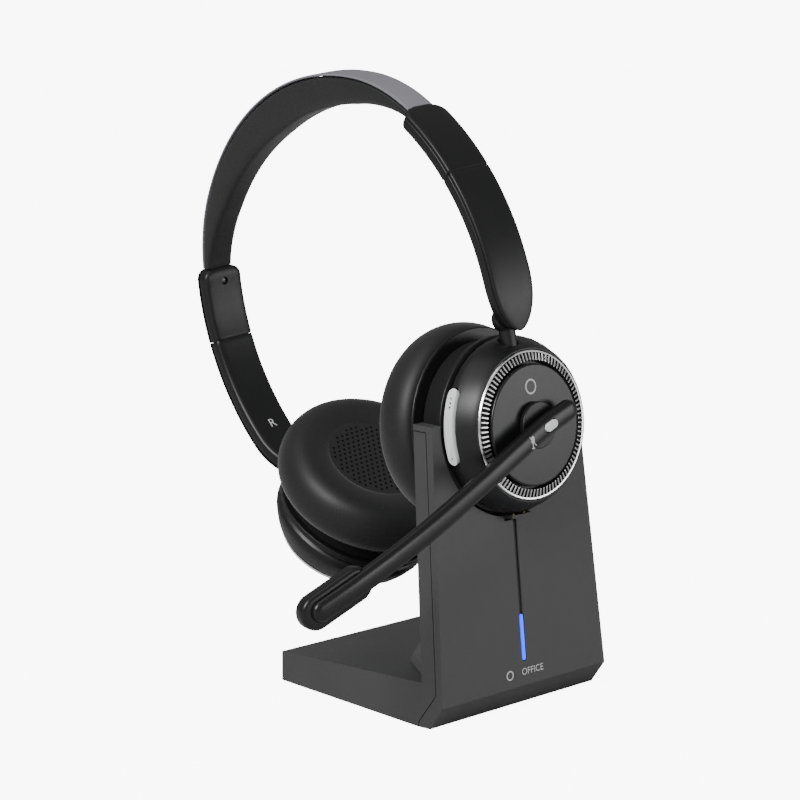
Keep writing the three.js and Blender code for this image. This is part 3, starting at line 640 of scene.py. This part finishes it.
RIBS = 92
RIB_SIZE = (2.7 * MM, 0.62 * MM, 0.7 * MM)
RIB_OUT = 22.8
RIB_UP = 11.75
RIB_LEAN = 13
RIB_EDGE = 0.12
RING_BED = [(21.3, 10.4), (24.2, 10.4), (24.2, 11.0), (21.3, 11.7)]
RING_RIM = [(24.3, 10.4), (25.0, 10.4), (25.05, 11.2), (24.8, 11.6), (24.3, 11.5)]


def ribbed_ring(name, place):
    """The bright ring: a turned rim and bed with narrow ribs set round it."""
    bed = turned(name, RING_BED, Matrix())
    rim = turned(name + "_rim", RING_RIM, Matrix())
    # The bed between the ribs is painted near-black, as the shadow in the groove.
    bed.data.materials.append(painted_gap_shade)
    rim.data.materials.append(bright_ring)
    ribs = [rim]
    bpy.ops.object.select_all(action="DESELECT")
    bpy.ops.mesh.primitive_cube_add(size=1)
    rib = bpy.context.object
    rib.data.transform(Matrix.Diagonal((*RIB_SIZE, 1)))
    rib.data.materials.append(rib_silver)
    lean = Matrix.Rotation(math.radians(RIB_LEAN), 4, "Y")
    rib.data.transform(Matrix.Translation((RIB_OUT * MM, 0, RIB_UP * MM)) @ lean)
    edges = rib.modifiers.new("edges", "BEVEL")
    edges.width = RIB_EDGE * MM
    edges.segments = 2
    bpy.ops.object.modifier_apply(modifier=edges.name)
    for number in range(1, RIBS):
        copy = rib.copy()
        copy.data = rib.data.copy()
        bpy.context.scene.collection.objects.link(copy)
        copy.data.transform(Matrix.Rotation(2 * math.pi * number / RIBS, 4, "Z"))
        ribs.append(copy)
    bpy.ops.object.select_all(action="DESELECT")
    for piece in ribs + [rib]:
        piece.select_set(True)
    bed.select_set(True)
    bpy.context.view_layer.objects.active = bed
    bpy.ops.object.join()
    bed.data.transform(place)
    return bed


for place, name in ((left_cup, "left"), (right_cup, "right")):
    body = f"{name}_cup"
    cushion = turned(f"{name}_cushion", CUSHION, place, steps=48, levels=2)
    cushion.data.materials.append(cushion_skin)
    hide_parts(f"{name}_ear_cushion")
    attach(cushion, body)
    centre = perforated_centre(f"{name}_perforated_centre", place)
    centre.data.materials.append(cushion_skin)
    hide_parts(f"{name}_cushion_centre")
    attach(centre, body)
    ring = ribbed_ring(f"{name}_ribbed_ring", place)
    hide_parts(f"{name}_trim_ring")
    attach(ring, body)
    finish(f"{name}_cushion_plate", shell_black, 0.2)
    # The recessed neck is painted near-black, as the shade between cushion and housing.
    finish(f"{name}_cup_neck", painted_gap_shade, 0.2)
    finish(f"{name}_cup_flange", shell_black, 0.3)
    finish(f"{name}_cup_housing", shell_black, 0.25)
    finish(f"{name}_disc_cover", glossy_black, 0.25)
    finish(f"{name}_speaker_driver", steel)
finish("left_circuit_board", board_green, 0.1)
finish("battery_pack", steel, 0.4)

# ---------------------------------------------------------------- boom microphone
# A gently curved moulded tube turns on a hub in the middle of the left disc. Its mute button
# is over the hub, and a flat rounded microphone head is fixed behind its far end.
key_silver = moulded("key_silver", (0.62, 0.63, 0.64), 0.35)
finish("volume_rocker", key_silver, 0.5)
finish("mute_button", key_silver, 0.3)
finish("boom_hub", shell_black, 0.4)
finish("mic_capsule", steel, 0.2)

# The boom's centre line from above the mute button to the microphone, in the face's frame.
BOOM_LINE = [
    (13.9, 4.8, 17.8), (7, 2.5, 17.8), (0, 0, 17.8), (-12, -5.6, 17.7), (-32, -15.6, 17.2),
    (-57, -28.1, 15.1), (-80, -38.9, 11.5), (-97.6, -47.2, 7),
]
BOOM_HEIGHT = 7.2
BOOM_DEPTH = 4.4
BOOM_STEPS = 40                    # steps in which its length is measured
BUTTON_ROOM = (6.5, 3.5, 18.5, 22)           # length, width, bottom and top
BUTTON_LEAN = math.atan2(5.4, 14)
MIC_LENGTH = 27
MIC_WIDTH = 11.4
MIC_BACK = -5.1
MIC_FRONT = 0.2
MIC_EDGE = 1.3
MIC_AHEAD = 3.4                    # how far the head reaches past the end of the boom
BOOM_ROOM = 0.3                    # clearance round the boom inside the head
BOOM_LOOK = 0.005                  # share of the boom looked ahead and back for its direction
END_DEPTH = 0.45                   # depth left at the boom's rounded ends, as a share
PORT_PLACE = -2
PORT = (2.6, -7, -3.6)             # radius, and both ends along the drill
across_face = Vector((1, 0, 0))
face = axes_frame(spot("headset_lift"), across_face, out_left.cross(across_face), out_left)


def boom_point(share):
    """A point on the boom's centre line, smooth through its listed points."""
    across = BOOM_LINE[0][0] + (BOOM_LINE[-1][0] - BOOM_LINE[0][0]) * share
    number = 0
    while number < len(BOOM_LINE) - 2 and across < BOOM_LINE[number + 1][0]:
        number += 1
    before = Vector(BOOM_LINE[max(number - 1, 0)])
    first = Vector(BOOM_LINE[number])
    second = Vector(BOOM_LINE[number + 1])
    after = Vector(BOOM_LINE[min(number + 2, len(BOOM_LINE) - 1)])
    span = second.x - first.x
    slope_in = (second - before) / (second.x - before.x) * span
    slope_out = (after - first) / (after.x - first.x) * span
    t = (across - first.x) / span
    return (first * (2 * t ** 3 - 3 * t ** 2 + 1) + slope_in * (t ** 3 - 2 * t ** 2 + t)
            + second * (3 * t ** 2 - 2 * t ** 3) + slope_out * (t ** 3 - t ** 2))


def boom_place(grow):
    """Makes the boom's layout, fatter all round by grow, for swept()."""
    marks = [boom_point(step / BOOM_STEPS) for step in range(BOOM_STEPS + 1)]
    length = sum((after - before).length for before, after in zip(marks, marks[1:]))

    def place(share, angle):
        along = ease_ends(share)
        ahead = boom_point(min(along + BOOM_LOOK, 1)) - boom_point(max(along - BOOM_LOOK, 0))
        side = Vector((0, 0, 1)).cross(ahead).normalized()
        out = ahead.normalized().cross(side)
        end = 1 - min(min(along, 1 - along) * length / (BOOM_HEIGHT / 2), 1)
        round_off = math.sqrt(max(1 - end * end, 0.0004))
        wide = (BOOM_HEIGHT / 2 + grow) * power(math.cos(angle), 0.7) * round_off
        deep = (BOOM_DEPTH / 2 + grow) * power(math.sin(angle), 0.75)
        deep *= END_DEPTH + (1 - END_DEPTH) * round_off
        return face @ ((boom_point(along) + side * wide + out * deep) * MM)
    return place


def long_round(length, width, low, high, place, edge):
    """A flat piece with round ends and softened edges along a frame's X, in millimetres."""
    bpy.ops.object.select_all(action="DESELECT")
    bpy.ops.mesh.primitive_cylinder_add(vertices=64, radius=width / 2 * MM, depth=(high - low) * MM)
    piece = bpy.context.object
    for vert in piece.data.vertices:
        vert.co.x += math.copysign((length - width) / 2 * MM, vert.co.x)
    select_only(piece)
    if edge:
        soft = piece.modifiers.new("soft", "BEVEL")
        soft.width = edge * MM
        soft.segments = 5
        soft.angle_limit = math.radians(50)
        bpy.ops.object.modifier_apply(modifier=soft.name)
    piece.data.transform(place @ Matrix.Translation((0, 0, (low + high) / 2 * MM)))
    return piece


button_turn = Matrix.Rotation(BUTTON_LEAN, 4, "Z")
boom = swept("boom", 120, 32, boom_place(0))
drilled(boom, [long_round(*BUTTON_ROOM, face @ button_turn, 0)])
boom.data.materials.append(glossy_black)
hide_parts("boom_tube")

tip_run = (boom_point(1) - boom_point(0.97)).normalized()
tip_side = Vector((0, 0, 1)).cross(tip_run).normalized()
tip = face @ axes_frame(boom_point(1) * MM, tip_run, tip_side, tip_run.cross(tip_side))
mic_middle = tip @ Matrix.Translation(((MIC_AHEAD - MIC_LENGTH / 2) * MM, 0, 0))
mic = long_round(MIC_LENGTH, MIC_WIDTH, MIC_BACK, MIC_FRONT, mic_middle, MIC_EDGE)
mic.name = "mic_head"
mic_port = tip @ Matrix.Translation((PORT_PLACE * MM, 0, 0))
drilled(mic, [swept("boom_room", 60, 32, boom_place(BOOM_ROOM)), rod(*PORT, mic_port)])
mic.data.materials.append(glossy_black)
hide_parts("mic_housing")
for piece in (boom, mic):
    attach(piece, "boom")

# ---------------------------------------------------------------- printed marks
# Fine pad-printed marks lie on the surfaces: R inside the right arm, a crossed microphone by
# the mute button, a plain ring on the disc, and a plain ring with a word on the stand.
print_grey = moulded("print_grey", (0.45, 0.45, 0.46), 0.5)
INK = 0.01                         # thickness of the print on each side of its middle
WORD_PLACE = (3.5, -84.9, 0.04)
WORD_SIZE = 3.3
STAND_RING = (1.7, 0.5)            # a ring's radius and width
STAND_RING_PLACE = (-7.5, -84.9, 0.03)
DISC_RING = (2.6, 0.6)
DISC_RING_PLACE = (0.5, 13, 12.93)
LETTER_SIZE = 5.0
LETTER_TURN = 105.2
LETTER_DOWN = 5.14
ICON_SHARE = 0.205                 # the crossed microphone's place along the boom
# Length, width, rise and turn of the icon's head, stem, foot and stroke.
ICON_PARTS = [(2.5, 1.5, 0.5, 90), (1.6, 0.4, -1.6, 90), (1.5, 0.35, -2.3, 0), (4.4, 0.3, 0, -45)]


def letters(name, text, size, place):
    """Flat lettering, turned into a thin mesh and set on its surface."""
    bpy.ops.object.select_all(action="DESELECT")
    bpy.ops.object.text_add()
    words = bpy.context.object
    words.name = name
    words.data.body = text
    words.data.size = size * MM
    words.data.extrude = INK * MM
    words.data.align_x = "CENTER"
    words.data.align_y = "CENTER"
    words.data.resolution_u = 6
    bpy.ops.object.convert(target="MESH")
    words = bpy.context.object
    words.data.transform(place)
    return words


def mark(piece, material, body):
    """Prints a mark in one ink and fixes it to its body."""
    piece.data.materials.append(material)
    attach(piece, body)


def ring_mark(name, radius, width, place):
    """A plain printed ring."""
    inner = radius - width
    outline = [(inner, 0), (radius, 0), (radius, 2 * INK), (inner, 2 * INK)]
    return turned(name, outline, place, steps=48)


word_place = face @ Matrix.Translation(Vector(WORD_PLACE) * MM)
stand_ring_place = face @ Matrix.Translation(Vector(STAND_RING_PLACE) * MM)
disc_ring_place = left_cup @ Matrix.Translation(Vector(DISC_RING_PLACE) * MM)
mark(letters("stand_word", "OFFICE", WORD_SIZE, word_place), print_grey, "stand")
mark(ring_mark("stand_ring", *STAND_RING, stand_ring_place), print_grey, "stand")
mark(ring_mark("disc_ring", *DISC_RING, disc_ring_place), print_grey, "left_cup")

letter_point, letter_out = seam(LETTER_TURN)
letter_angle = math.radians(LETTER_TURN)
letter_up = Vector((0, -math.cos(letter_angle), math.sin(letter_angle)))
letter_spot = (letter_point - letter_out * LETTER_DOWN) * MM
letter_place = band @ axes_frame(letter_spot, letter_up.cross(-letter_out), letter_up, -letter_out)
mark(letters("right_letter", "R", LETTER_SIZE, letter_place), print_grey, "right_arm")

icon = face @ Matrix.Translation((boom_point(ICON_SHARE) + Vector((0, 0, BOOM_DEPTH / 2))) * MM)
for number, (length, width, rise, turn) in enumerate(ICON_PARTS):
    turned_bar = Matrix.Rotation(math.radians(turn), 4, "Z")
    place = icon @ Matrix.Translation((0, rise * MM, 0)) @ turned_bar
    bar = long_round(length, width, 0.0, 0.03 + INK * number, place, 0)
    bar.name = f"mute_icon_{number + 1}"
    mark(bar, print_grey, "boom")

# ---------------------------------------------------------------- volume rocker's dots
# Raised dots on the narrow face of the volume rocker tell its two ends apart by touch: three
# of them in a row at one end, and a single one at the other.
ROCKER_OUT = 2.5                   # height of the row on the cup, and distance from its axis
ROCKER_TOP = 30.3
DOT_TURNS = (150, 152.8, 155.6, 188)
DOT_RADIUS = 0.28
cup_out = Vector((0, 0, 1))

for number, turn in enumerate(DOT_TURNS):
    around = Vector((math.cos(math.radians(turn)), math.sin(math.radians(turn)), 0))
    dot_spot = (around * ROCKER_TOP + cup_out * ROCKER_OUT) * MM
    dot = ball(DOT_RADIUS, left_cup @ axes_frame(dot_spot, cup_out.cross(around), cup_out, around))
    dot.name = f"rocker_dot_{number + 1}"
    dot.data.materials.append(stand_plastic)
    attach(dot, "volume_rocker")
